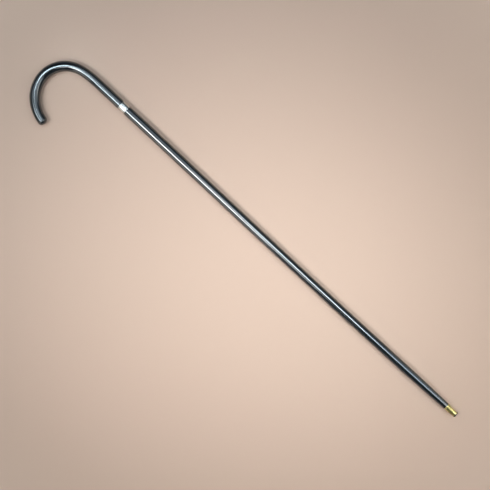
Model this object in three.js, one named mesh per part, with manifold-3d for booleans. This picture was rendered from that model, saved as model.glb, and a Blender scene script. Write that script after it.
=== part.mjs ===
// A walking stick with a curved handle, lying on its side as it is put down on a table.
// Lengths are in millimetres and angles in radians.
// X runs along the shaft from the ferrule's ground face to the crook, the crook curls
// towards +Y, and Z is up from the surface that the stick lies on.

import * as THREE from 'three';
import { mergeVertices } from 'three/addons/utils/BufferGeometryUtils.js';
import Module from 'manifold-3d';

const wasm = await Module();
wasm.setup();

// Fits and fineness, shared by all pieces

const clearance = 0.3; // glue gap round a piece that goes into another
const overrun = 1; // how far a drill starts outside what it cuts
const turnedSides = 32; // flats round a turned piece
const pinSides = 16; // flats round a ferrule pin
const arcSteps = 5; // chords along a rounded edge, a bead or a quarter of a dome
const taperSteps = 6; // chords along the shaft's short taper into the ferrule
const bowSteps = 14; // chords along the rest of the shaft, which is bowed
const bendStep = 4.5; // distance between the rings of the bent wood
const traceStep = 0.25; // step at which the crook's centreline is added up
const drillPoint = THREE.MathUtils.degToRad(118); // included angle at the end of a blind bore

// Ferrule: a drawn brass tube on the shaft's end, with a steel heel that meets the ground

const ferruleLength = 20.6;
const ferruleMouthDiameter = 11.8;
const ferruleTipDiameter = 9.4;
const ferruleWall = 0.8;
const lipWidth = 1.8; // the turned lip at the ferrule's mouth
const lipHeight = 0.2;
const heelThickness = 2.4;
const heelEdge = 1.5; // rounding of the heel's worn edge
const heelSpigotLength = 4.5;

// Ferrule pins: two brass pins driven through the tube into the wood

const pinDiameter = 1.5;
const pinLength = 3.6;
const pinProud = 0.1;
const pinSetback = 9; // from the ferrule's mouth to the pins

// Shaft: turned wood that tapers from the joint to the ferrule, and has warped a little

const shaftLength = 746; // from the ferrule's mouth to the joint
const waistDiameter = 14.9;
const tipTaperLength = 110; // from the ferrule's mouth to the waist
const jointDiameter = 17; // of both woods where they meet
const shaftBow = 2; // how far the wood has warped towards the crook's side
const bowSkew = 0.75; // below 1 the bow is deepest nearer to the ferrule
const bowEase = 1.5; // above 1 the bow starts and ends along the straight stick

// Joint stud: a steel rod glued into blind bores in the shaft and the crook

const studDiameter = 8;
const studInShaft = 35;
const studChamfer = 0.8;
const boreToBend = 24; // straight wood left between the stud's end and the bend

// Crook: one turned length of wood, bent on a former

const legLength = 59; // straight, from the joint to the bend
const leadInLength = 58; // over which the curvature rises evenly
const bendRadius = 50; // of the centreline where the bend is tightest
const bendLength = 37; // along which that radius is held
const easeOutLength = 79; // over which the bend opens again
const noseRadius = 67;
const noseLength = 23.5; // along which the nose's radius is held, with the dome
const gripDiameter = 18.7;
const noseDiameter = 16.8;
const domeLength = 7.5;
const swellStartShare = 0.5; // where the wood starts to thicken, of the lead-in
const swellEndShare = 0.5; // where it starts to thin again, of the ease-out
const domeFullness = 2.2; // 2 is an ellipse, more is squarer

// Collar: a silver band over the joint, with a half-round wire at each edge

const bandLength = 10.3;
const bandWall = 0.8;
const wireWidth = 2;
const wireHeight = 0.55; // how far the wire stands out from the band
const seatDepth = 0.9; // how deep the wood is turned down under the collar

// What follows from those sizes

const boreRadius = studDiameter / 2 + clearance;
const seatRadius = jointDiameter / 2 - seatDepth;
const collarBore = seatRadius + clearance;
const bandRadius = collarBore + bandWall;
const collarLength = bandLength + 2 * wireWidth;
const seatLength = collarLength / 2 + clearance; // on each side of the joint
const studInCrook = legLength - boreToBend;
const bendTotal = leadInLength + bendLength + easeOutLength + noseLength;
const crookLength = legLength + bendTotal;
const ferruleMouthX = heelThickness + ferruleLength;
const jointX = ferruleMouthX + shaftLength;

// Materials

function finish(name, color, roughness, metalness) {
  return new THREE.MeshStandardMaterial({ name, color, roughness, metalness });
}

const blackWood = () => finish('ebonised wood', '#14181a', 0.16, 0);
const silver = () => finish('polished silver', '#dcdcd8', 0.14, 1);
const brass = () => finish('worn brass', '#d3bf78', 0.3, 1);
const steel = () => finish('steel', '#77736c', 0.45, 1);

// Shape helpers

// A point of a turned profile: how far along the axis, and how far out from it.
const at = (along, radius) => new THREE.Vector2(radius, along);

// Evenly spaced values from 0 to 1, both included.
const spread = (steps) => Array.from({ length: steps + 1 }, (_, i) => i / steps);

// Merges equal corners and drops the empty triangles that a lathe leaves on its axis.
function weld(geometry) {
  const bare = geometry.clone();
  bare.deleteAttribute('normal');
  bare.deleteAttribute('uv');
  const merged = mergeVertices(bare);
  const corners = merged.index.array;
  const kept = [];
  for (let i = 0; i < corners.length; i += 3) {
    const [a, b, c] = corners.subarray(i, i + 3);
    if (a !== b && b !== c && c !== a) {
      kept.push(a, b, c);
    }
  }
  merged.setIndex(kept);
  merged.computeVertexNormals();
  return merged;
}

// Turns a profile round the X axis. The profile runs towards +X on the outside of the
// piece and back on the inside, and it either starts and ends on the axis or closes.
function turned(profile, flats = turnedSides) {
  return weld(new THREE.LatheGeometry(profile, flats).rotateZ(-Math.PI / 2));
}

function solidOf(geometry) {
  const shape = weld(geometry);
  return new wasm.Manifold(new wasm.Mesh({
    numProp: 3,
    vertProperties: new Float32Array(shape.attributes.position.array),
    triVerts: new Uint32Array(shape.index.array),
  }));
}

// Cuts tools, given as geometries, out of a piece.
function cut(geometry, ...tools) {
  let solid = solidOf(geometry);
  for (const tool of tools) {
    solid = solid.subtract(solidOf(tool));
  }
  const mesh = solid.getMesh();
  const result = new THREE.BufferGeometry();
  result.setAttribute('position', new THREE.BufferAttribute(mesh.vertProperties, 3));
  result.setIndex(new THREE.BufferAttribute(mesh.triVerts, 1));
  result.computeVertexNormals();
  return result;
}

function piece(name, geometry, material, x) {
  const mesh = new THREE.Mesh(geometry, material);
  mesh.name = name;
  mesh.position.x = x;
  return mesh;
}

// A blind bore's profile, from its mouth inwards to the drill point on the axis.
function boreProfile(mouth, depth, direction) {
  const pointLength = boreRadius / Math.tan(drillPoint / 2);
  const floor = mouth + direction * depth;
  return [at(mouth, boreRadius), at(floor, boreRadius), at(floor + direction * pointLength, 0)];
}

// Ferrule, measured from its tip end towards its mouth

const ferruleTaper = (ferruleMouthDiameter - ferruleTipDiameter) / 2 / ferruleLength;
const ferruleOuter = (along) => ferruleTipDiameter / 2 + ferruleTaper * along;
const ferruleInner = (along) => ferruleOuter(along) - ferruleWall;

function ferruleTube() {
  const lipStart = ferruleLength - lipWidth;
  const lip = spread(2 * arcSteps).map((share) => {
    const along = lipStart + share * lipWidth;
    return at(along, ferruleOuter(along) + lipHeight * Math.sin(Math.PI * share));
  });
  const outline = [
    at(0, ferruleInner(0)),
    at(0, ferruleOuter(0)),
    ...lip,
    at(ferruleLength, ferruleInner(ferruleLength)),
    at(0, ferruleInner(0)),
  ];
  return cut(turned(outline), pinHole(1), pinHole(-1));
}

function heel() {
  const flange = ferruleTipDiameter / 2;
  const spigotTop = heelThickness + heelSpigotLength;
  const edge = spread(arcSteps).map((share) => {
    const angle = share * Math.PI / 2;
    return at(heelEdge * (1 - Math.sin(angle)), flange - heelEdge * (1 - Math.cos(angle)));
  }).reverse();
  return turned([
    at(0, 0),
    ...edge,
    at(heelThickness, flange),
    at(heelThickness, ferruleInner(0) - clearance),
    at(spigotTop, ferruleInner(heelSpigotLength) - clearance),
    at(spigotTop, 0),
  ]);
}

// Ferrule pins, measured in the ferrule's own place

const pinAlong = ferruleLength - pinSetback;
const pinOuterEnd = ferruleOuter(pinAlong) + pinProud;

// A round rod across the stick, from one distance off the axis to another.
function crossRod(radius, from, to, side) {
  const rod = new THREE.CylinderGeometry(radius, radius, to - from, pinSides);
  rod.translate(pinAlong, side * (from + to) / 2, 0);
  return weld(rod);
}

function pin(side) {
  return crossRod(pinDiameter / 2, pinOuterEnd - pinLength, pinOuterEnd, side);
}

function pinHole(side) {
  const inner = pinOuterEnd - pinLength - clearance;
  return crossRod(pinDiameter / 2 + clearance, inner, pinOuterEnd + overrun, side);
}

// Shaft, measured from the ferrule's mouth towards the joint

function shaftRadius(along) {
  const waist = waistDiameter / 2;
  if (along < tipTaperLength) {
    const share = 1 - along / tipTaperLength;
    return waist - (waist - ferruleMouthDiameter / 2) * share ** 2;
  }
  const share = (along - tipTaperLength) / (shaftLength - tipTaperLength);
  return waist + (jointDiameter / 2 - waist) * share;
}

// Warps the straight shaft, between the ferrule's mouth and the joint.
function bowWood(geometry) {
  const position = geometry.attributes.position;
  for (let i = 0; i < position.count; i += 1) {
    const share = THREE.MathUtils.clamp(position.getX(i) / shaftLength, 0, 1);
    const swing = Math.abs(Math.sin(Math.PI * share ** bowSkew));
    position.setY(i, position.getY(i) + shaftBow * swing ** bowEase);
  }
  geometry.computeVertexNormals();
  return geometry;
}

function shaft() {
  const tenonLength = ferruleLength - heelSpigotLength - clearance;
  const tenonRadius = (along) => ferruleInner(ferruleLength + along) - clearance;
  const shoulder = shaftLength - seatLength;
  const upper = spread(bowSteps).map((share) => {
    const along = tipTaperLength + share * (shoulder - tipTaperLength);
    return at(along, shaftRadius(along));
  });
  const lower = spread(taperSteps).slice(0, -1).map((share) => {
    const along = share * tipTaperLength;
    return at(along, shaftRadius(along));
  });
  const blank = turned([
    at(-tenonLength, 0),
    at(-tenonLength, tenonRadius(-tenonLength)),
    at(0, tenonRadius(0)),
    ...lower,
    ...upper,
    at(shoulder, seatRadius),
    at(shaftLength, seatRadius),
    ...boreProfile(shaftLength, studInShaft + clearance, -1),
  ]);
  const holes = [pinHole(1), pinHole(-1)].map((hole) => hole.translate(-ferruleLength, 0, 0));
  return bowWood(cut(blank, ...holes));
}

// Joint stud, measured from the joint

function stud() {
  const radius = studDiameter / 2;
  return turned([
    at(-studInShaft, 0),
    at(-studInShaft, radius - studChamfer),
    at(studChamfer - studInShaft, radius),
    at(studInCrook - studChamfer, radius),
    at(studInCrook, radius - studChamfer),
    at(studInCrook, 0),
  ]);
}

// Collar, measured from the joint

function band() {
  const end = bandLength / 2;
  return turned([
    at(-end, collarBore),
    at(-end, bandRadius),
    at(end, bandRadius),
    at(end, collarBore),
    at(-end, collarBore),
  ]);
}

function edgeWire() {
  const round = spread(2 * arcSteps).map((share) => {
    const angle = share * Math.PI;
    return at(wireWidth / 2 * (1 - Math.cos(angle)), bandRadius + wireHeight * Math.sin(angle));
  });
  return turned([at(0, collarBore), ...round, at(wireWidth, collarBore), at(0, collarBore)]);
}

// Crook: first the straight turned wood, measured from the joint, then the bend

function crookRadius(along) {
  const leg = jointDiameter / 2;
  const grip = gripDiameter / 2;
  const nose = noseDiameter / 2;
  const swellStart = legLength + swellStartShare * leadInLength;
  const swellFull = legLength + leadInLength + bendLength;
  const thinStart = swellFull + swellEndShare * easeOutLength;
  const thinEnd = crookLength - domeLength;
  const swell = THREE.MathUtils.smoothstep(along, swellStart, swellFull);
  const thin = THREE.MathUtils.smoothstep(along, thinStart, thinEnd);
  return leg + (grip - leg) * swell - (grip - nose) * thin;
}

function straightCrook() {
  const bentLength = crookLength - domeLength - legLength;
  const bent = spread(Math.ceil(bentLength / bendStep)).map((share) => {
    const along = legLength + share * bentLength;
    return at(along, crookRadius(along));
  });
  const dome = spread(arcSteps + 1).slice(1).map((share) => {
    const angle = share * Math.PI / 2;
    const out = Math.cos(angle) ** (2 / domeFullness);
    const forward = Math.sin(angle) ** (2 / domeFullness);
    return at(crookLength - domeLength * (1 - forward), share < 1 ? out * noseDiameter / 2 : 0);
  });
  return turned([
    ...boreProfile(0, studInCrook + clearance, 1).reverse(),
    at(0, seatRadius),
    at(seatLength, seatRadius),
    at(seatLength, crookRadius(seatLength)),
    ...bent,
    ...dome,
  ]);
}

// Heading of the bend's centreline at a distance past the leg, from its curvature:
// rising evenly, held, opening evenly, held again to the nose.
function heading(distance) {
  const tight = 1 / bendRadius;
  const open = 1 / noseRadius;
  const stretch = (start, length) => THREE.MathUtils.clamp(distance - start, 0, length);
  const rising = stretch(0, leadInLength);
  const held = stretch(leadInLength, bendLength);
  const opening = stretch(leadInLength + bendLength, easeOutLength);
  const last = stretch(leadInLength + bendLength + easeOutLength, noseLength);
  return tight * rising ** 2 / (2 * leadInLength)
    + tight * held
    + tight * opening - (tight - open) * opening ** 2 / (2 * easeOutLength)
    + open * last;
}

// Adds up the centreline in small steps, and gives its place at a distance past the leg.
function traceCentreline() {
  const steps = Math.ceil(bendTotal / traceStep);
  const step = bendTotal / steps;
  const places = [new THREE.Vector2(0, 0)];
  for (let i = 0; i < steps; i += 1) {
    const angle = heading((i + 0.5) * step);
    const move = new THREE.Vector2(Math.cos(angle), Math.sin(angle)).multiplyScalar(step);
    places.push(places[i].clone().add(move));
  }
  return (distance) => {
    const count = THREE.MathUtils.clamp(distance / step, 0, steps);
    const before = Math.min(Math.floor(count), steps - 1);
    return places[before].clone().lerp(places[before + 1], count - before);
  };
}

function bendWood(geometry) {
  const centreline = traceCentreline();
  const position = geometry.attributes.position;
  for (let i = 0; i < position.count; i += 1) {
    const distance = position.getX(i) - legLength;
    if (distance > 0) {
      const angle = heading(distance);
      const centre = centreline(distance);
      const out = position.getY(i);
      const x = legLength + centre.x - out * Math.sin(angle);
      const y = centre.y + out * Math.cos(angle);
      position.setXY(i, x, y);
    }
  }
  geometry.computeVertexNormals();
  return geometry;
}

// The stick, laid on its side: the grip touches Z = 0, centred on X and Y

const stick = new THREE.Group();
const halfCollar = collarLength / 2;

stick.add(
  piece('ferrule_heel', heel(), steel(), 0),
  piece('ferrule', ferruleTube(), brass(), heelThickness),
  piece('ferrule_pin_left', pin(1), brass(), heelThickness),
  piece('ferrule_pin_right', pin(-1), brass(), heelThickness),
  piece('shaft', shaft(), blackWood(), ferruleMouthX),
  piece('joint_stud', stud(), steel(), jointX),
  piece('collar_wire_lower', edgeWire(), silver(), jointX - halfCollar),
  piece('collar_band', band(), silver(), jointX),
  piece('collar_wire_upper', edgeWire(), silver(), jointX + halfCollar - wireWidth),
  piece('crook_handle', bendWood(straightCrook()), blackWood(), jointX),
);

const extent = new THREE.Box3().setFromObject(stick);
const middle = extent.getCenter(new THREE.Vector3());
stick.position.set(-middle.x, -middle.y, -extent.min.z);

export default stick;
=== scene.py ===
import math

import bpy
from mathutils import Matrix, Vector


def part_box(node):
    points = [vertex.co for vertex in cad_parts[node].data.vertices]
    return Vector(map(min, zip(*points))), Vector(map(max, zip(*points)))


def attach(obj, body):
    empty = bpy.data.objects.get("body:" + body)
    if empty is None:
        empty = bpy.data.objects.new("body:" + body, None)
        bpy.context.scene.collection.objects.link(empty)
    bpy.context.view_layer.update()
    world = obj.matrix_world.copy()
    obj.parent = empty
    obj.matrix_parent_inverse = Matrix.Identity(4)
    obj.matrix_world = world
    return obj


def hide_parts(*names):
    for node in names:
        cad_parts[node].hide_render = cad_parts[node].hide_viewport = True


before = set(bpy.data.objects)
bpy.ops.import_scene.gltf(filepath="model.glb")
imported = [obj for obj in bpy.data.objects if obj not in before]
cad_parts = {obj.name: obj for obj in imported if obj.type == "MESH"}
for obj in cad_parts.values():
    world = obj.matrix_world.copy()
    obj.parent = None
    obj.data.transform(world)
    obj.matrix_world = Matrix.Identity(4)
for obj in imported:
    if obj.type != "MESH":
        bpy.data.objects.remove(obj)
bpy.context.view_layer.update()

# A walking stick of ebonised wood with a curved handle, a silver collar and a brass ferrule.
# It lies on its side on a pale floor. X runs from the ferrule's ground face to the crook,
# the crook curls towards +Y, and Z is up. Lengths are in metres, angles in radians.

mm = 0.001

# Sizes, the same as the solids have

glue_line = 0.05 * mm        # gap left between a piece and the one it sits in

ferrule_length = 20.6 * mm
ferrule_mouth_diameter = 11.8 * mm
ferrule_tip_diameter = 9.4 * mm
ferrule_wall = 0.8 * mm
lip_width = 1.8 * mm
lip_height = 0.2 * mm
heel_thickness = 2.4 * mm
heel_edge = 1.5 * mm
heel_spigot_length = 4.5 * mm

pin_diameter = 1.5 * mm
pin_length = 3.6 * mm
pin_proud = 0.1 * mm
pin_setback = 9 * mm

shaft_length = 746 * mm
waist_diameter = 14.9 * mm
tip_taper_length = 110 * mm
joint_diameter = 17 * mm
shaft_bow = 2 * mm
bow_skew = 0.75
bow_ease = 1.5

stud_diameter = 8 * mm
stud_clearance = 0.3 * mm
stud_in_shaft = 35 * mm
bore_to_bend = 24 * mm
drill_point = math.radians(118)

leg_length = 59 * mm
lead_in_length = 58 * mm
bend_radius = 50 * mm
bend_length = 37 * mm
ease_out_length = 79 * mm
nose_radius = 67 * mm
nose_length = 23.5 * mm
grip_diameter = 18.7 * mm
nose_diameter = 16.8 * mm
dome_length = 7.5 * mm
swell_start_share = 0.5
swell_end_share = 0.5
dome_fullness = 2.2

band_length = 10.3 * mm
band_wall = 0.8 * mm
wire_width = 2 * mm
wire_height = 0.55 * mm
seat_depth = 0.9 * mm
collar_gap = 0.3 * mm

# How finely the meshes are made

turned_sides = 96
pin_sides = 32
shaft_stations = 240
crook_stations = 230
round_stations = 20          # along the collar's wires and the dome of the nose
lip_stations = 14
heel_edge_stations = 12
former_step = 0.25 * mm      # along the crook's centreline
weld_distance = 0.002 * mm
crisp_angle = math.radians(32)
worn_radius = 0.25 * mm      # of edges that a file or a buff has taken off
slight_turn = math.radians(20)
longest_cut = 0.45           # share of a side that one rounded corner may take

# What follows from the sizes

bore_radius = stud_diameter / 2 + stud_clearance
seat_radius = joint_diameter / 2 - seat_depth
collar_bore = seat_radius + glue_line
band_radius = seat_radius + collar_gap + band_wall
collar_length = band_length + 2 * wire_width
stud_in_crook = leg_length - bore_to_bend
bend_total = lead_in_length + bend_length + ease_out_length + nose_length
crook_length = leg_length + bend_total
ferrule_mouth_x = heel_thickness + ferrule_length
joint_x = ferrule_mouth_x + shaft_length

# The stick's axis in the frame: the wires' top and bottom give its height, the heel its start

heel_low, heel_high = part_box("ferrule_heel")
wire_low, wire_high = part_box("collar_wire_lower")
axis_start = Vector((
    heel_low[0], (heel_low[1] + heel_high[1]) / 2, (wire_low[2] + wire_high[2]) / 2))


# Node trees

def feed(tree, node, inputs):
    """Gives a node its inputs. Each is a value or the socket that feeds it."""
    for socket, value in inputs.items():
        if isinstance(value, bpy.types.NodeSocket):
            tree.links.new(value, node.inputs[socket])
        else:
            node.inputs[socket].default_value = value


def add(tree, kind, settings=None, inputs=None):
    """Adds a node with its settings and inputs."""
    node = tree.nodes.new(kind)
    for name, value in (settings or {}).items():
        setattr(node, name, value)
    feed(tree, node, inputs or {})
    return node


def maths(tree, operation, *values):
    return add(tree, "ShaderNodeMath", {"operation": operation}, dict(enumerate(values))).outputs[0]


def vector_maths(tree, operation, inputs):
    return add(tree, "ShaderNodeVectorMath", {"operation": operation}, inputs).outputs[0]


def joined(tree, x=0.0, y=0.0, z=0.0):
    return add(tree, "ShaderNodeCombineXYZ", {}, {0: x, 1: y, 2: z}).outputs[0]


def parted(tree, vector):
    return add(tree, "ShaderNodeSeparateXYZ", {}, {0: vector}).outputs


def remap(tree, value, from_min, from_max, to_min, to_max, settings=None):
    """A value moved from one range to another, and held inside it."""
    return add(tree, "ShaderNodeMapRange", settings, {
        "Value": value, "From Min": from_min, "From Max": from_max,
        "To Min": to_min, "To Max": to_max}).outputs[0]


def new_tree(name, sockets):
    """A geometry tree with a mesh going in and out, and one named input for each size."""
    tree = bpy.data.node_groups.new(name, "GeometryNodeTree")
    tree.is_modifier = True
    tree.interface.new_socket("Geometry", in_out="OUTPUT", socket_type="NodeSocketGeometry")
    tree.interface.new_socket("Geometry", in_out="INPUT", socket_type="NodeSocketGeometry")
    for label, kind in sockets:
        tree.interface.new_socket(label, in_out="INPUT", socket_type=kind)
    return tree


def close_tree(tree, geometry, finish):
    """Ends a tree: the instances are made real and get their material."""
    real = add(tree, "GeometryNodeRealizeInstances", {}, {"Geometry": geometry})
    clad = add(tree, "GeometryNodeSetMaterial", {}, {
        "Geometry": real.outputs[0], "Material": finish})
    tree.links.new(clad.outputs[0], add(tree, "NodeGroupOutput").inputs[0])


def lathe_tree():
    """Turns a chain of profile points round X. Each point's x is its place along the axis
    and its y how far out it is. The place on the unbent blank is kept for the grain."""
    tree = new_tree("turned on a lathe", [
        ("Profile points", "NodeSocketInt"), ("Sides", "NodeSocketInt"),
        ("Finish", "NodeSocketMaterial")])
    given = add(tree, "NodeGroupInput").outputs
    # A flat grid with one row for each profile point and one more column than sides
    rows = maths(tree, "ADD", given["Sides"], 1.0)
    grid = add(tree, "GeometryNodeMeshGrid", {}, {
        "Size X": 1.0, "Size Y": 1.0, "Vertices X": given["Profile points"], "Vertices Y": rows})
    index = add(tree, "GeometryNodeInputIndex").outputs[0]
    station = maths(tree, "DIVIDE", index, rows)
    whole = maths(tree, "FLOOR", station)
    share = maths(tree, "SUBTRACT", station, whole)
    turns = maths(tree, "MULTIPLY", share, rows)
    part = maths(tree, "DIVIDE", turns, given["Sides"])
    angle = maths(tree, "MULTIPLY", part, -2 * math.pi)
    # Its points go round the axis at their profile point's distance
    place = add(tree, "GeometryNodeInputPosition").outputs[0]
    profile = add(tree, "GeometryNodeSampleIndex", {"data_type": "FLOAT_VECTOR", "domain": "POINT"}, {
        "Geometry": given["Geometry"], "Value": place, "Index": whole})
    split = parted(tree, profile.outputs[0])
    cosine = maths(tree, "COSINE", angle)
    sine = maths(tree, "SINE", angle)
    out_y = maths(tree, "MULTIPLY", split["Y"], cosine)
    out_z = maths(tree, "MULTIPLY", split["Y"], sine)
    shaped = add(tree, "GeometryNodeSetPosition", {}, {
        "Geometry": grid.outputs["Mesh"], "Position": joined(tree, split["X"], out_y, out_z)})
    welded = add(tree, "GeometryNodeMergeByDistance", {}, {
        "Geometry": shaped.outputs[0], "Distance": weld_distance})
    kept = add(tree, "GeometryNodeStoreNamedAttribute", {"data_type": "FLOAT_VECTOR", "domain": "POINT"}, {
        "Geometry": welded.outputs[0], "Name": "blank_place", "Value": place})
    # Smooth shading, apart from the sharp corners
    smooth = add(tree, "GeometryNodeSetShadeSmooth", {"domain": "FACE"}, {
        "Geometry": kept.outputs[0], "Shade Smooth": True})
    bend = add(tree, "GeometryNodeInputMeshEdgeAngle")
    corner = add(tree, "FunctionNodeCompare", {"data_type": "FLOAT", "operation": "GREATER_THAN"}, {
        0: bend.outputs["Unsigned Angle"], 1: crisp_angle})
    crisp = add(tree, "GeometryNodeSetShadeSmooth", {"domain": "EDGE"}, {
        "Geometry": smooth.outputs[0], "Selection": corner.outputs[0], "Shade Smooth": False})
    close_tree(tree, crisp.outputs[0], given["Finish"])
    return tree


def former_tree():
    """Bends a straight blank on a former. The curvature rises evenly, is held, opens evenly
    and is held again; adding it up gives the heading, and the heading the centreline."""
    lengths = [
        "Leg", "Lead-in", "Bend", "Ease-out", "Bend radius", "Nose radius", "Whole length", "Step"]
    tree = new_tree("bent on a former", [
        *((label, "NodeSocketFloat") for label in lengths), ("Finish", "NodeSocketMaterial")])
    given = add(tree, "NodeGroupInput").outputs
    tight = maths(tree, "DIVIDE", 1.0, given["Bend radius"])
    slack = maths(tree, "DIVIDE", 1.0, given["Nose radius"])
    loss = maths(tree, "SUBTRACT", slack, tight)
    rise_end = maths(tree, "ADD", given["Leg"], given["Lead-in"])
    ease_start = maths(tree, "ADD", rise_end, given["Bend"])
    ease_end = maths(tree, "ADD", ease_start, given["Ease-out"])

    # The curvature in the middle of each step, and the turn that it makes there
    index = add(tree, "GeometryNodeInputIndex").outputs[0]
    middle = maths(tree, "ADD", index, 0.5)
    distance = maths(tree, "MULTIPLY", middle, given["Step"])
    rising = remap(tree, distance, given["Leg"], rise_end, 0.0, tight)
    easing = remap(tree, distance, ease_start, ease_end, 0.0, loss)
    curvature = maths(tree, "ADD", rising, easing)
    turn = maths(tree, "MULTIPLY", curvature, given["Step"])
    half_turn = maths(tree, "MULTIPLY", turn, 0.5)
    turned_so_far = add(tree, "GeometryNodeAccumulateField", {"data_type": "FLOAT"}, {"Value": turn})
    heading = maths(tree, "ADD", turned_so_far.outputs["Trailing"], half_turn)
    cosine = maths(tree, "COSINE", heading)
    sine = maths(tree, "SINE", heading)
    direction = joined(tree, cosine, sine)
    move = vector_maths(tree, "SCALE", {0: direction, "Scale": given["Step"]})
    travelled = add(tree, "GeometryNodeAccumulateField", {"data_type": "FLOAT_VECTOR"}, {"Value": move})

    # The centreline is a chain with one point for each step
    steps = maths(tree, "DIVIDE", given["Whole length"], given["Step"])
    count = maths(tree, "ADD", steps, 1.5)
    chain = add(tree, "GeometryNodeMeshLine", {"mode": "OFFSET"}, {
        "Count": count, "Offset": (0.0, 0.0, 0.0)})
    traced = add(tree, "GeometryNodeSetPosition", {}, {
        "Geometry": chain.outputs[0], "Position": travelled.outputs["Trailing"]})
    centreline = add(tree, "GeometryNodeMeshToCurve", {}, {"Mesh": traced.outputs[0]})

    # Each point of the blank keeps its offset from the axis, turned with the centreline
    place = add(tree, "GeometryNodeInputPosition").outputs[0]
    split = parted(tree, place)
    there = add(tree, "GeometryNodeSampleCurve", {"mode": "LENGTH", "use_all_curves": True}, {
        "Curves": centreline.outputs[0], "Length": split["X"]})
    ahead = parted(tree, there.outputs["Tangent"])
    back = maths(tree, "MULTIPLY", ahead["Y"], -1.0)
    inward = joined(tree, back, ahead["X"])
    sideways = vector_maths(tree, "SCALE", {0: inward, "Scale": split["Y"]})
    upright = joined(tree, z=split["Z"])
    offset = vector_maths(tree, "ADD", {0: sideways, 1: upright})
    bent = vector_maths(tree, "ADD", {0: there.outputs["Position"], 1: offset})
    shaped = add(tree, "GeometryNodeSetPosition", {}, {
        "Geometry": given["Geometry"], "Position": bent})
    close_tree(tree, shaped.outputs[0], given["Finish"])
    return tree


def warp_tree():
    """Bows a straight shaft sideways: nothing at its ends, most a little nearer to the first."""
    tree = new_tree("warped as it dried", [
        ("Length", "NodeSocketFloat"), ("Bow", "NodeSocketFloat"), ("Skew", "NodeSocketFloat"),
        ("Ease", "NodeSocketFloat"), ("Finish", "NodeSocketMaterial")])
    given = add(tree, "NodeGroupInput").outputs
    place = add(tree, "GeometryNodeInputPosition").outputs[0]
    share = remap(tree, parted(tree, place)["X"], 0.0, given["Length"], 0.0, 1.0)
    skewed = maths(tree, "POWER", share, given["Skew"])
    half_turn = maths(tree, "MULTIPLY", skewed, math.pi)
    swing = maths(tree, "ABSOLUTE", maths(tree, "SINE", half_turn))
    softened = maths(tree, "POWER", swing, given["Ease"])
    aside = maths(tree, "MULTIPLY", softened, given["Bow"])
    warped = add(tree, "GeometryNodeSetPosition", {}, {
        "Geometry": given["Geometry"], "Offset": joined(tree, y=aside)})
    close_tree(tree, warped.outputs[0], given["Finish"])
    return tree


def apply_tree(piece, tree, values):
    """Runs a tree on a piece and keeps the plain mesh that it makes."""
    modifier = piece.modifiers.new(tree.name, "NODES")
    modifier.node_group = tree
    sockets = {
        item.name: item.identifier for item in tree.interface.items_tree if item.in_out == "INPUT"}
    for label, value in values.items():
        modifier[sockets[label]] = value
    graph = bpy.context.evaluated_depsgraph_get()
    made = bpy.data.meshes.new_from_object(
        piece.evaluated_get(graph), preserve_all_data_layers=True, depsgraph=graph)
    piece.modifiers.clear()
    piece.data = made
    made.name = piece.name


# Materials

def linear(code):
    """A colour written as sRGB hex, as the linear values that a socket takes."""
    values = [int(code[i:i + 2], 16) / 255 for i in (1, 3, 5)]
    return (*(v / 12.92 if v <= 0.04045 else ((v + 0.055) / 1.055) ** 2.4 for v in values), 1.0)


def grey(value):
    return (value, value, value, 1.0)


def new_material(name):
    material = bpy.data.materials.new(name)
    material.use_nodes = True
    tree = material.node_tree
    shader = next(node for node in tree.nodes if node.type == "BSDF_PRINCIPLED")
    return material, tree, shader


def colour_ramp(tree, factor, stops):
    ramp = add(tree, "ShaderNodeValToRGB", {}, {0: factor})
    points = ramp.color_ramp.elements
    while len(points) < len(stops):
        points.new(0.5)
    for point, (place, colour) in zip(points, stops):
        point.position = place
        point.color = colour
    return ramp.outputs["Color"]


def colour_mix(tree, factor, first, second, settings=None):
    return add(tree, "ShaderNodeMix", {"data_type": "RGBA", **(settings or {})}, {
        "Factor": factor, "A": first, "B": second}).outputs["Result"]


def noise(tree, place, size, detail, roughness, distortion=0.0):
    """Noise with marks of that size."""
    return add(tree, "ShaderNodeTexNoise", {}, {
        "Vector": place, "Scale": 1 / size, "Detail": detail, "Roughness": roughness,
        "Distortion": distortion}).outputs[0]


def long_noise(tree, place, along, across, detail, roughness):
    """Noise with marks of one size along the stick and another across it."""
    space = add(tree, "ShaderNodeMapping", {}, {
        "Vector": place, "Scale": (1 / along, 1 / across, 1 / across)})
    return noise(tree, space.outputs[0], 1.0, detail, roughness)


def bump(tree, strength, depth, height, under=None):
    """A bumpy surface, on top of another one if it is given."""
    node = add(tree, "ShaderNodeBump", {}, {"Strength": strength, "Distance": depth, "Height": height})
    if under is not None:
        feed(tree, node, {"Normal": under})
    return node.outputs[0]


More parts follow.
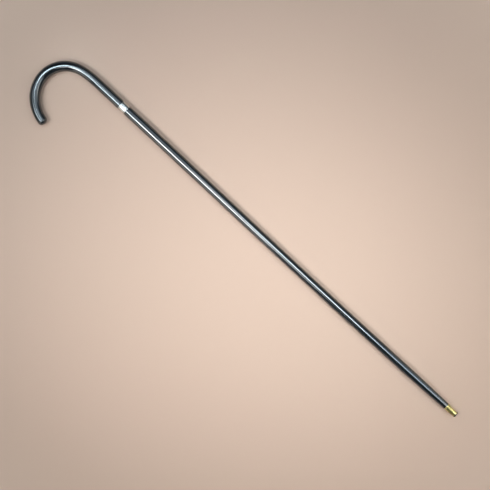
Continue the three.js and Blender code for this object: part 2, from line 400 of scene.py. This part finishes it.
def ebonised_hardwood():
    """Close-grained hardwood, stained black with an iron bath, filled and given several coats
    of clear gloss lacquer that were rubbed down between. The eye sees a nearly black, slightly
    blue-green depth under a wet-looking skin, with long fine pores that only show in the light,
    and a skin that isn't dead flat, so the bright line along the stick wavers a little."""
    material, tree, shader = new_material("ebonised hardwood under gloss lacquer")
    place = add(tree, "ShaderNodeAttribute", {"attribute_name": "blank_place"}).outputs["Vector"]
    # Pores are 0.1 mm wide and 6 to 10 mm long; they are drawn 0.6 mm wide, or they would not show
    pores = long_noise(tree, place, 9 * mm, 0.6 * mm, 3.0, 0.6)
    # Stain takes unevenly along the growth rings, in streaks 3 mm wide and 60 mm long
    rings = long_noise(tree, place, 60 * mm, 3 * mm, 2.0, 0.5)
    stain = colour_ramp(tree, rings, [
        (0.30, linear("#0d1114")), (0.55, linear("#12181b")), (0.75, linear("#191816"))])
    open_pore = colour_ramp(tree, pores, [(0.30, grey(1.0)), (0.42, grey(0.0))])
    wood = colour_mix(tree, open_pore, stain, linear("#07090a"))
    # Handling leaves dull and bright patches about 25 mm long in the lacquer
    handled = noise(tree, place, 25 * mm, 3.0, 0.55)
    gloss = remap(tree, handled, 0.3, 0.7, 0.12, 0.18)
    # The lacquer flows into low swells 7 mm across and sinks into the pores
    swell = long_noise(tree, place, 22 * mm, 7 * mm, 1.0, 0.4)
    flow = bump(tree, 0.12, 0.1 * mm, swell)
    sunk = bump(tree, 0.1, 0.03 * mm, pores, flow)
    feed(tree, shader, {"Base Color": wood, "Roughness": gloss, "IOR": 2.0, "Normal": sunk})
    return material


def polished_silver():
    """Sterling sheet and half-round wire, soldered up, filed true and polished on a mop, then
    kept bright by hand. The eye sees an almost white mirror, softened by fine rubbing marks
    round the collar, and a brown-grey line of tarnish that the cloth leaves beside the wires."""
    material, tree, shader = new_material("polished silver")
    place = add(tree, "ShaderNodeTexCoord").outputs["Object"]
    # Rubbing marks are some 0.02 mm wide; they are drawn 0.25 mm wide, or they would not show
    marks = long_noise(tree, place, 0.25 * mm, 5 * mm, 3.0, 0.6)
    clouds = noise(tree, place, 3 * mm, 3.0, 0.5)
    # How far a point is from the corner between the band and its nearer wire, along the stick
    collar_middle = (axis_start.x + joint_x, axis_start.y, axis_start.z)
    centred = vector_maths(tree, "SUBTRACT", {0: place, 1: collar_middle})
    from_middle = maths(tree, "ABSOLUTE", parted(tree, centred)["X"])
    from_corner = maths(tree, "SUBTRACT", from_middle, band_length / 2)
    apart = maths(tree, "ABSOLUTE", from_corner)
    grime = remap(tree, apart, 0.0, 0.8 * mm, 0.9, 0.0)
    uneven = maths(tree, "MULTIPLY", grime, clouds)
    bright = colour_ramp(tree, clouds, [(0.30, linear("#cfceca")), (0.65, linear("#e8e7e3"))])
    metal = colour_mix(tree, uneven, bright, linear("#6b6257"))
    rough = remap(tree, clouds, 0.3, 0.7, 0.16, 0.26)
    rubbed = bump(tree, 0.2, 0.02 * mm, marks)
    feed(tree, shader, {
        "Base Color": metal, "Metallic": 1.0, "Roughness": rough, "Normal": rubbed})
    return material


def worn_brass():
    """Drawn brass tube, turned and polished when new, then dulled by the ground. The eye sees
    pale yellow metal with soft long scratches, and duller and redder patches of tarnish a few
    millimetres across."""
    material, tree, shader = new_material("worn brass")
    place = add(tree, "ShaderNodeTexCoord").outputs["Object"]
    # Scratches from the ground run along the ferrule, drawn 0.3 mm wide and 6 mm long
    scratches = long_noise(tree, place, 6 * mm, 0.3 * mm, 4.0, 0.65)
    patches = noise(tree, place, 3.5 * mm, 4.0, 0.6)
    tone = colour_ramp(tree, patches, [
        (0.28, linear("#b39f5e")), (0.42, linear("#dfd08c")), (0.62, linear("#ebe19e")),
        (0.75, linear("#d6b16c"))])
    marked = colour_ramp(tree, scratches, [(0.35, grey(0.62)), (0.5, grey(1.0))])
    metal = colour_mix(tree, 0.45, tone, marked, {"blend_type": "MULTIPLY"})
    rough = remap(tree, patches, 0.3, 0.7, 0.36, 0.26)
    dents = bump(tree, 0.12, 0.02 * mm, scratches)
    feed(tree, shader, {
        "Base Color": metal, "Metallic": 1.0, "Roughness": rough, "Normal": dents})
    return material


def scuffed_steel():
    """Mild steel turned to shape, its end ground dull by pavements. The eye sees grey metal,
    darkened by handling, with brown specks of rust and short scuffs in all directions."""
    material, tree, shader = new_material("scuffed steel")
    place = add(tree, "ShaderNodeTexCoord").outputs["Object"]
    scuffs = noise(tree, place, 0.5 * mm, 5.0, 0.7, 1.5)
    specks = noise(tree, place, 1.1 * mm, 3.0, 0.6)
    steel = colour_ramp(tree, scuffs, [(0.3, linear("#4c4842")), (0.7, linear("#857f76"))])
    rust = colour_ramp(tree, specks, [(0.56, grey(0.0)), (0.68, grey(0.75))])
    metal = colour_mix(tree, rust, steel, linear("#5b4130"))
    rough = remap(tree, scuffs, 0.3, 0.7, 0.6, 0.4)
    dents = bump(tree, 0.5, 0.05 * mm, scuffs)
    feed(tree, shader, {
        "Base Color": metal, "Metallic": 0.9, "Roughness": rough, "Normal": dents})
    return material


def rolled_steel():
    """Bright rolled rod, cut and chamfered. Inside the glued joint it shows only in a section:
    grey, with fine lines round it from the tool that trimmed it."""
    material, tree, shader = new_material("bright rolled steel rod")
    place = add(tree, "ShaderNodeTexCoord").outputs["Object"]
    lines = long_noise(tree, place, 0.3 * mm, 6 * mm, 3.0, 0.6)
    steel = colour_ramp(tree, lines, [(0.3, linear("#8c8a87")), (0.7, linear("#b5b3b0"))])
    rough = remap(tree, lines, 0.3, 0.7, 0.42, 0.3)
    cut = bump(tree, 0.3, 0.02 * mm, lines)
    feed(tree, shader, {"Base Color": steel, "Metallic": 1.0, "Roughness": rough, "Normal": cut})
    return material


black_wood = ebonised_hardwood()
silver = polished_silver()
brass = worn_brass()
heel_steel = scuffed_steel()
stud_steel = rolled_steel()

# Turned pieces

lathe = lathe_tree()
warp = warp_tree()
former = former_tree()


def spread(start, end, steps):
    return [start + (end - start) * i / steps for i in range(steps + 1)]


def smoothstep(value, low, high):
    share = min(max((value - low) / (high - low), 0.0), 1.0)
    return share * share * (3 - 2 * share)


def eased(corners, radius, steps=4):
    """Rounds the corners of a profile off to about that radius, apart from its two ends and
    the corners that hardly turn."""
    result = []
    for i, corner in enumerate(corners):
        here = Vector(corner)
        if i in (0, len(corners) - 1):
            result.append(tuple(here))
            continue
        before = Vector(corners[i - 1]) - here
        after = Vector(corners[i + 1]) - here
        turn = math.pi - before.angle(after)
        if turn < slight_turn:
            result.append(tuple(here))
            continue
        cut = min(
            radius * math.tan(turn / 2), longest_cut * before.length, longest_cut * after.length)
        start = here + before.normalized() * cut
        end = here + after.normalized() * cut
        for share in spread(0.0, 1.0, steps):
            point = start.lerp(here, share).lerp(here.lerp(end, share), share)
            result.append(tuple(point))
    return result


def turned(name, profile, finish, start, sides=turned_sides):
    """A turned piece from its profile of (along, radius) points, put down at its place."""
    mesh = bpy.data.meshes.new(name)
    mesh.from_pydata([(along, radius, 0.0) for along, radius in profile], [], [])
    piece = bpy.data.objects.new(name, mesh)
    bpy.context.scene.collection.objects.link(piece)
    apply_tree(piece, lathe, {"Profile points": len(profile), "Sides": sides, "Finish": finish})
    piece.data.transform(Matrix.Translation((start, 0.0, 0.0)))
    return piece


def settle(piece, *nodes, slot):
    """Moves a piece's mesh to the stick's axis, and lets it stand for its solids."""
    piece.data.transform(Matrix.Translation(axis_start))
    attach(piece, "root")
    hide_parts(*nodes)


def bore_profile(mouth, depth, direction):
    """A blind bore with a drill's point, from its mouth inwards."""
    point = bore_radius / math.tan(drill_point / 2)
    bottom = mouth + direction * depth
    return [(mouth, bore_radius), (bottom, bore_radius), (bottom + direction * point, 0.0)]


# Ferrule and heel

def ferrule_outer(along):
    slope = (ferrule_mouth_diameter - ferrule_tip_diameter) / 2 / ferrule_length
    return ferrule_tip_diameter / 2 + slope * along


def ferrule_inner(along):
    return ferrule_outer(along) - ferrule_wall


def ferrule_profile():
    lip_start = ferrule_length - lip_width
    lip = []
    for share in spread(0.0, 1.0, lip_stations):
        along = lip_start + share * lip_width
        lip.append((along, ferrule_outer(along) + lip_height * math.sin(math.pi * share)))
    outside = eased([
        (0.0, ferrule_inner(0.0)), (0.0, ferrule_outer(0.0)),
        (lip_start, ferrule_outer(lip_start))], worn_radius)
    return [
        *outside[:-1], *lip,
        (ferrule_length, ferrule_inner(ferrule_length)), (0.0, ferrule_inner(0.0))]


def heel_profile():
    flange = ferrule_tip_diameter / 2
    spigot_top = heel_thickness + heel_spigot_length
    edge = []
    for angle in reversed(spread(0.0, math.pi / 2, heel_edge_stations)):
        edge.append((heel_edge * (1 - math.sin(angle)), flange - heel_edge * (1 - math.cos(angle))))
    return [
        (0.0, 0.0), *edge, (heel_thickness - glue_line, flange),
        (heel_thickness - glue_line, ferrule_inner(0.0) - glue_line),
        (spigot_top, ferrule_inner(heel_spigot_length) - glue_line), (spigot_top, 0.0)]


settle(turned("heel_turned", heel_profile(), heel_steel, 0.0), "ferrule_heel", slot="heel_steel")
settle(turned("ferrule_tube", ferrule_profile(), brass, heel_thickness), "ferrule", slot="brass")

# Ferrule pins: each is turned along X, then stood across the stick

pin_along = ferrule_length - pin_setback
pin_outer_end = ferrule_outer(pin_along) + pin_proud
shank = eased([
    (0.0, 0.0), (0.0, pin_diameter / 2), (pin_length, pin_diameter / 2), (pin_length, 0.0)],
    worn_radius)
for side, label in ((1, "left"), (-1, "right")):
    pin = turned(
        f"ferrule_pin_{label}_driven", shank, brass, pin_outer_end - pin_length, pin_sides)
    pin.data.transform(Matrix.Rotation(side * math.pi / 2, 4, "Z"))
    pin.data.transform(Matrix.Translation((heel_thickness + pin_along, 0.0, 0.0)))
    settle(pin, f"ferrule_pin_{label}", slot="brass")


# Shaft

def shaft_radius(along):
    """The lower end tapers ever faster to the ferrule; the rest grows evenly to the joint."""
    waist = waist_diameter / 2
    if along < tip_taper_length:
        share = 1 - along / tip_taper_length
        return waist - (waist - ferrule_mouth_diameter / 2) * share ** 2
    share = (along - tip_taper_length) / (shaft_length - tip_taper_length)
    return waist + (joint_diameter / 2 - waist) * share


def shaft_profile():
    seat_length = collar_length / 2 + glue_line
    tenon_length = ferrule_length - heel_spigot_length - glue_line
    shoulder = shaft_length - seat_length
    skin = [(along, shaft_radius(along)) for along in spread(0.0, shoulder, shaft_stations)]
    return [
        (-tenon_length, 0.0),
        (-tenon_length, ferrule_inner(ferrule_length - tenon_length) - glue_line),
        (0.0, ferrule_inner(ferrule_length) - glue_line),
        *skin,
        (shoulder, seat_radius), (shaft_length, seat_radius),
        *bore_profile(shaft_length, stud_in_shaft + stud_clearance, -1)]


shaft = turned("shaft_wood", shaft_profile(), black_wood, 0.0)
apply_tree(shaft, warp, {
    "Length": shaft_length, "Bow": shaft_bow, "Skew": bow_skew, "Ease": bow_ease,
    "Finish": black_wood})
shaft.data.transform(Matrix.Translation((ferrule_mouth_x, 0.0, 0.0)))
settle(shaft, "shaft", slot="black_wood")


# Collar

def band_profile():
    end = band_length / 2
    return [
        (-end, collar_bore), (-end, band_radius), (end, band_radius), (end, collar_bore),
        (-end, collar_bore)]


def wire_profile():
    bead = []
    for angle in spread(0.0, math.pi, round_stations):
        along = wire_width / 2 * (1 - math.cos(angle))
        bead.append((along, band_radius + wire_height * math.sin(angle)))
    return [(0.0, collar_bore), *bead, (wire_width, collar_bore), (0.0, collar_bore)]


settle(turned("collar_band_sheet", band_profile(), silver, joint_x), "collar_band", slot="silver")
settle(turned("collar_wire_lower_bead", wire_profile(), silver, joint_x - collar_length / 2),
       "collar_wire_lower", slot="silver")
settle(turned("collar_wire_upper_bead", wire_profile(), silver, joint_x + collar_length / 2 - wire_width),
       "collar_wire_upper", slot="silver")


# Crook: turned straight, then bent

def crook_radius(along):
    """It swells from the leg to the grip and thins again towards the nose."""
    leg = joint_diameter / 2
    grip = grip_diameter / 2
    nose = nose_diameter / 2
    swell_start = leg_length + swell_start_share * lead_in_length
    swell_full = leg_length + lead_in_length + bend_length
    thin_start = swell_full + swell_end_share * ease_out_length
    swell = smoothstep(along, swell_start, swell_full)
    thin = smoothstep(along, thin_start, crook_length - dome_length)
    return leg + (grip - leg) * swell - (grip - nose) * thin


def crook_profile():
    seat_length = collar_length / 2 + glue_line
    dome_start = crook_length - dome_length
    skin = [(along, crook_radius(along)) for along in spread(seat_length, dome_start, crook_stations)]
    dome = []
    for angle in spread(0.0, math.pi / 2, round_stations)[1:-1]:
        out = math.cos(angle) ** (2 / dome_fullness)
        forward = math.sin(angle) ** (2 / dome_fullness)
        dome.append((dome_start + dome_length * forward, out * nose_diameter / 2))
    return [
        *reversed(bore_profile(0.0, stud_in_crook + stud_clearance, 1)),
        (0.0, seat_radius), (seat_length, seat_radius), *skin, *dome, (crook_length, 0.0)]


crook = turned("crook_wood", crook_profile(), black_wood, 0.0)
apply_tree(crook, former, {
    "Leg": leg_length, "Lead-in": lead_in_length, "Bend": bend_length,
    "Ease-out": ease_out_length, "Bend radius": bend_radius, "Nose radius": nose_radius,
    "Whole length": crook_length, "Step": former_step, "Finish": black_wood})
crook.data.transform(Matrix.Translation((joint_x, 0.0, 0.0)))
settle(crook, "crook_handle", slot="black_wood")

# The stud stays the solid that it is, and only gets its steel

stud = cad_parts["joint_stud"]
stud.data.materials.clear()
stud.data.materials.append(stud_steel)

# Floor: the plane that the stick rests on, at its collar, low on its shaft and at its grip.
# It falls a little towards the crook and rises a little across, so that nothing hangs above it.

floor_height = 1.13 * mm     # below the middle of the stick's footprint
fall_along = 0.00283
rise_across = 0.00364
floor_reach = 9
glow_start = 0.42            # metres from the middle
glow_end = 0.95
backdrop = linear("#d8c4b4")

floor_points = []
for side_x, side_y in ((-1, -1), (1, -1), (1, 1), (-1, 1)):
    x = side_x * floor_reach
    y = side_y * floor_reach
    floor_points.append((x, y, floor_height - fall_along * x + rise_across * y))
floor_mesh = bpy.data.meshes.new("floor")
floor_mesh.from_pydata(floor_points, [], [(0, 1, 2, 3)])
floor = bpy.data.objects.new("floor", floor_mesh)
bpy.context.scene.collection.objects.link(floor)
floor_paint, floor_tree, floor_shader = new_material("pale matt floor")
feed(floor_tree, floor_shader, {
    "Base Color": linear("#c5a997"), "Roughness": 0.9, "Specular IOR Level": 0.2})
# Beyond the reach of the lamps the camera sees the floor as pale as the backdrop
floor_place = add(floor_tree, "ShaderNodeTexCoord").outputs["Object"]
away = add(floor_tree, "ShaderNodeVectorMath", {"operation": "LENGTH"}, {0: floor_place})
unlit = remap(floor_tree, away.outputs["Value"], glow_start, glow_end, 0.0, 1.0, {
    "interpolation_type": "SMOOTHSTEP"})
looked_at = maths(
    floor_tree, "MULTIPLY", unlit, add(floor_tree, "ShaderNodeLightPath").outputs["Is Camera Ray"])
pale = add(floor_tree, "ShaderNodeEmission", {}, {"Color": backdrop, "Strength": 1.0})
laid = add(floor_tree, "ShaderNodeMixShader", {}, {
    0: looked_at, 1: floor_shader.outputs[0], 2: pale.outputs[0]})
floor_surface = next(node for node in floor_tree.nodes if node.type == "OUTPUT_MATERIAL")
feed(floor_tree, floor_surface, {"Surface": laid.outputs[0]})
floor_mesh.materials.append(floor_paint)


# Studio light. A softbox shows in the lacquer as a bright line, so each one stands where the
# photograph's line has its brightness: the key with its wing and tail over the upper shaft and
# the leg, two over the middle of the shaft, one over its lower end, three over the bend and the
# nose, two over the ferrule. The key also throws the shadow. Three weak wide ones lift the rest.

def lamp(name, place, target, size_x, size_y, radiance, colour, grid=180):
    """A rectangular softbox that faces its target, with its first side as near to X as can be.
    A grid in front of it keeps the light within that angle, in degrees."""
    data = bpy.data.lights.new(name, "AREA")
    data.shape = "RECTANGLE"
    data.size = size_x
    data.size_y = size_y
    # The energy at which a softbox of this size, behind this grid, has that radiance
    half_grid = math.radians(grid / 2)
    data.energy = radiance * 4 * size_x * size_y * (1 - half_grid / math.tan(half_grid))
    data.color = linear(colour)[:3]
    data.spread = math.radians(grid)
    holder = bpy.data.objects.new(name, data)
    back = (Vector(place) - Vector(target)).normalized()
    side = (Vector((1.0, 0.0, 0.0)) - back * back.x).normalized()
    holder.matrix_world = Matrix.Translation(place) @ Matrix(
        (side, back.cross(side), back)).transposed().to_4x4()
    holder.visible_camera = False
    bpy.context.scene.collection.objects.link(holder)


crook_middle = (0.42, 0.0, 0.0)
tip = (-0.44, -0.055, 0.0)
lamp("key softbox", (0.24, 0.75, 1.5), (-0.02, -0.05, 0.0), 0.58, 0.45, 23.0, "#fbfdff", 44)
lamp("key wing softbox", (0.635, 0.78, 1.5), (0.25, -0.08, 0.0), 0.21, 0.42, 17.5, "#dff2fc", 44)
lamp("key tail softbox", (-0.17, 0.75, 1.5), (-0.1, -0.05, 0.0), 0.25, 0.45, 3.5, "#fbfdff")
lamp("crook softbox", (0.855, -0.01, 1.5), crook_middle, 0.54, 0.15, 12.0, "#d9f0fb")
lamp("bend softbox", (0.452, 0.024, 0.6), (0.431, -0.062, 0.0), 0.09, 0.08, 31.0, "#d9f0fb", 13)
lamp("nose softbox", (1.10, 1.10, 1.5), (0.41, 0.06, 0.0), 0.40, 0.60, 5.0, "#e6f6ff")
lamp("shaft softbox", (-0.20, -0.30, 1.5), (-0.13, -0.05, 0.0), 0.50, 0.35, 18.0, "#eef9ff", 28)
lamp("shaft wing softbox", (0.155, -0.08, 1.5), (0.09, -0.05, 0.0), 0.21, 0.75, 4.4, "#fbfdff", 36)
lamp("tip softbox", (-0.625, -0.29, 1.5), (-0.35, -0.05, 0.0), 0.41, 0.42, 4.3, "#cfe9fb", 64)
lamp("brass softbox", (-1.14, -0.95, 1.5), (-0.52, -0.05, 0.0), 0.32, 2.4, 11.0, "#fffdf0", 60)
lamp("tip panel", (-0.95, -1.5, 0.8), tip, 0.80, 1.2, 0.55, "#e4f1fa", 100)
lamp("ceiling softbox", (0.0, -0.65, 1.6), (0.0, -0.05, 0.0), 2.0, 1.3, 0.9, "#deefff")
lamp("far softbox", (1.35, 0.45, 1.3), crook_middle, 1.0, 1.0, 0.7, "#deefff")
lamp("side softbox", (0.30, 1.60, 0.45), (0.2, -0.05, 0.0), 0.70, 0.80, 1.1, "#fffaf2")

# The room: pale where it is looked at, dim overhead and lighter at the walls for the reflections

world = bpy.data.worlds.new("studio")
bpy.context.scene.world = world
world.use_nodes = True
room_tree = world.node_tree
room = next(node for node in room_tree.nodes if node.type == "BACKGROUND")
gaze = parted(room_tree, add(room_tree, "ShaderNodeTexCoord").outputs["Generated"])
wall = remap(room_tree, gaze["Z"], 0.0, 0.45, 0.3, 0.04)
in_view = add(room_tree, "ShaderNodeLightPath").outputs["Is Camera Ray"]
seen = add(room_tree, "ShaderNodeMix", {"data_type": "FLOAT"}, {
    "Factor": in_view, "A": wall, "B": 1.0})
feed(room_tree, room, {
    "Color": colour_mix(room_tree, in_view, linear("#dfeef4"), backdrop),
    "Strength": seen.outputs["Result"]})

# Camera: straight above, turned so that the crook is at the upper left

camera_data = bpy.data.cameras.new("camera")
camera_data.lens = 85
camera_data.sensor_width = 36
camera = bpy.data.objects.new("camera", camera_data)
image_width = 0.833          # on the floor, in metres
aim = Vector((0.00176, -0.02326, 0.009))
right = Vector((-0.7337, -0.6795, 0.0)).normalized()
upward = Vector((0.6795, -0.7337, 0.0)).normalized()
camera_height = image_width * camera_data.lens / camera_data.sensor_width
camera.matrix_world = Matrix.Translation(aim + Vector((0.0, 0.0, camera_height))) @ Matrix(
    (right, upward, Vector((0.0, 0.0, 1.0)))).transposed().to_4x4()
bpy.context.scene.collection.objects.link(camera)
bpy.context.scene.camera = camera

bpy.context.scene.view_settings.view_transform = "Standard"
